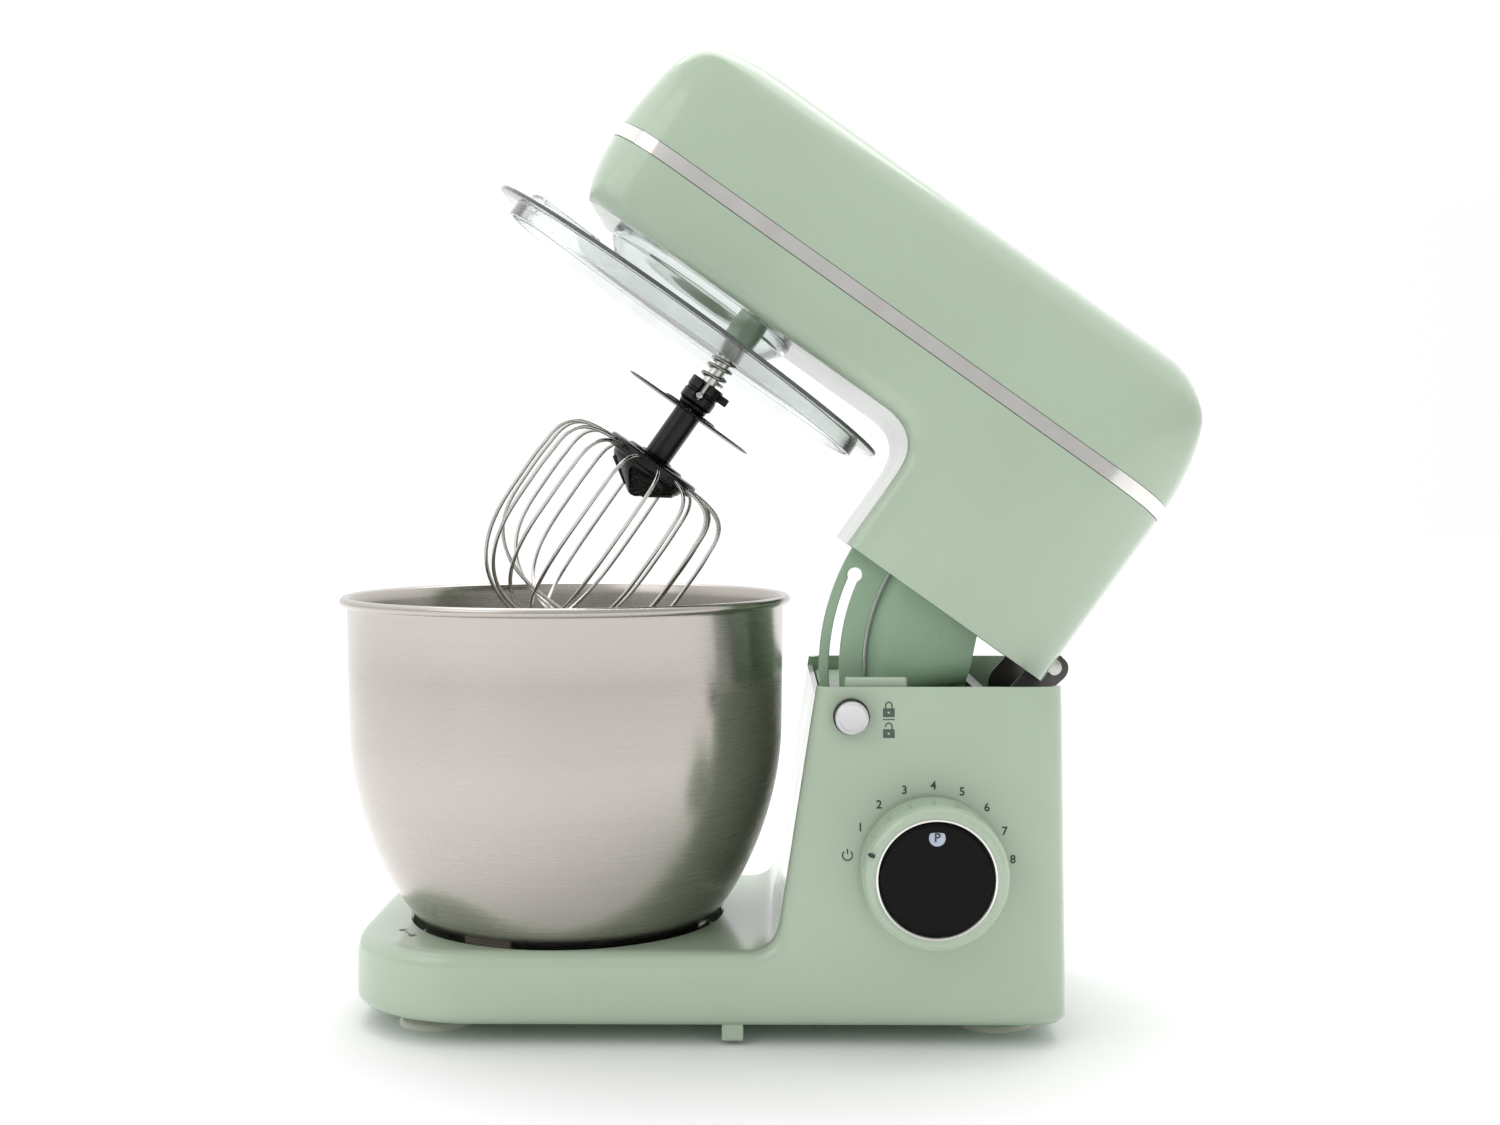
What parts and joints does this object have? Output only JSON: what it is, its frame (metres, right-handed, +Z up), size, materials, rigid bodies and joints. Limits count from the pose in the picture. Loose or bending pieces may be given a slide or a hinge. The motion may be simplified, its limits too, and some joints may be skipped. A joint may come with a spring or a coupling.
{
  "type": "stand mixer",
  "caption": "Tilt-head stand mixer with a planetary whisk, a twist-in steel bowl, a clear splash lid, a speed knob and suction feet.",
  "frame": {"origin": "on the table, under the middle of the mixer's bounding box with the head locked open", "axes": "+Z up, +X from the bowl towards the column, -Y towards the side with the controls"},
  "size_m": [0.4194, 0.228, 0.4668],
  "materials": {
    "mint": "gloss mint moulding",
    "mint_inner": "satin green moulding",
    "foot": "milky translucent",
    "bowl_steel": "fine brushed, satin",
    "bright_steel": "drawn, bright",
    "dark_steel": "oiled dark steel",
    "spring_steel": "bright wound wire",
    "cast": "as cast",
    "trim": "bright plated",
    "black": "satin black",
    "gloss_black": "piano gloss",
    "silver": "silver lacquer",
    "clear": "clear moulded plastic",
    "rubber": "matt",
    "nylon": "natural nylon",
    "winding": "lacquered copper",
    "board": "printed board"
  },
  "bodies": {
    "base": {"base_housing": "mint", "base_plate": "mint_inner", "column_top_plate": "mint_inner", "suction_foot_1": "foot", "suction_foot_2": "foot", "suction_foot_3": "foot", "suction_foot_4": "foot", "cable_clip": "mint", "cord_gland": "rubber", "hinge_bracket": "dark_steel", "hinge_pin": "bright_steel", "hinge_spring": "dark_steel", "control_board": "board", "speed_switch": "black"},
    "seat": {"seat_ring": "rubber"},
    "bowl": {"bowl_shell": "bowl_steel", "bowl_foot": "bowl_steel"},
    "knob": {"speed_knob": "mint", "knob_shaft": "nylon"},
    "pulse": {"pulse_button": "gloss_black"},
    "release": {"release_button": "silver", "lock_pin": "bright_steel", "button_spring": "dark_steel"},
    "head": {"head_upper_shell": "mint", "trim_strip": "trim", "head_lower_shell": "mint", "tilt_quadrant": "mint_inner", "swivel_guard": "mint_inner", "tilt_knuckle": "cast", "head_chassis": "cast", "gearbox_housing": "cast", "ring_gear": "nylon", "spindle_bearing": "bright_steel", "motor_can": "dark_steel", "drive_belt": "rubber", "splash_lid": "clear", "lid_collar": "clear"},
    "rotor": {"motor_rotor": "winding", "motor_shaft": "bright_steel", "small_pulley": "black", "cooling_fan": "nylon"},
    "carrier": {"planet_carrier": "mint", "carrier_spindle": "bright_steel", "large_pulley": "black"},
    "tool": {"tool_shaft": "bright_steel", "planet_gear": "nylon", "cross_pin": "bright_steel", "tool_spring": "spring_steel"},
    "whisk": {"whisk_collar": "black", "whisk_disc": "black", "whisk_hub": "black", "whisk_wire_1": "bright_steel", "whisk_wire_2": "bright_steel", "whisk_wire_3": "bright_steel", "whisk_wire_4": "bright_steel", "whisk_wire_5": "bright_steel", "whisk_wire_6": "bright_steel", "whisk_wire_7": "bright_steel", "whisk_wire_8": "bright_steel"}
  },
  "joints": [
    {"name": "head_tilt", "type": "hinge", "parent": "base", "child": "head", "pos_m": [0.14297, 0, 0.172], "axis": [0, 1, 0], "range_deg": [-35.4, 0]},
    {"name": "motor_spin", "type": "hinge", "parent": "head", "child": "rotor", "pos_m": [0.11436, 0, 0.22668], "axis": [0.5793, 0, 0.8151], "continuous": true},
    {"name": "carrier_spin", "type": "hinge", "parent": "head", "child": "carrier", "pos_m": [-0.01906, 0, 0.3583], "axis": [0.5793, 0, 0.8151], "continuous": true},
    {"name": "tool_spin", "type": "hinge", "parent": "carrier", "child": "tool", "pos_m": [-0.00113, 0, 0.34556], "axis": [0.5793, 0, 0.8151], "continuous": true},
    {"name": "whisk_pull", "type": "slide", "parent": "tool", "child": "whisk", "axis": [-0.5793, 0, -0.8151], "range_m": [0, 0.022]},
    {"name": "knob_turn", "type": "hinge", "parent": "base", "child": "knob", "pos_m": [0.07977, -0.09, 0.084], "axis": [0, 1, 0], "range_deg": [0, 165.5]},
    {"name": "pulse_press", "type": "slide", "parent": "base", "child": "pulse", "axis": [0, 1, 0], "range_m": [0, 0.002], "stiffness_N_per_m": 500},
    {"name": "release_press", "type": "slide", "parent": "base", "child": "release", "axis": [0, 1, 0], "range_m": [0, 0.0045], "stiffness_N_per_m": 400},
    {"name": "bowl_twist", "type": "hinge", "parent": "base", "child": "seat", "pos_m": [-0.09703, 0, 0.03], "axis": [0, 0, 1], "range_deg": [0, 25]},
    {"name": "bowl_lift", "type": "slide", "parent": "seat", "child": "bowl", "axis": [0, 0, 1], "range_m": [0, 0.07]}
  ],
  "couplings": [
    {"joint": "tool_spin", "follows": "carrier_spin", "ratio": -2.5714},
    {"joint": "motor_spin", "follows": "carrier_spin", "ratio": 5}
  ]
}
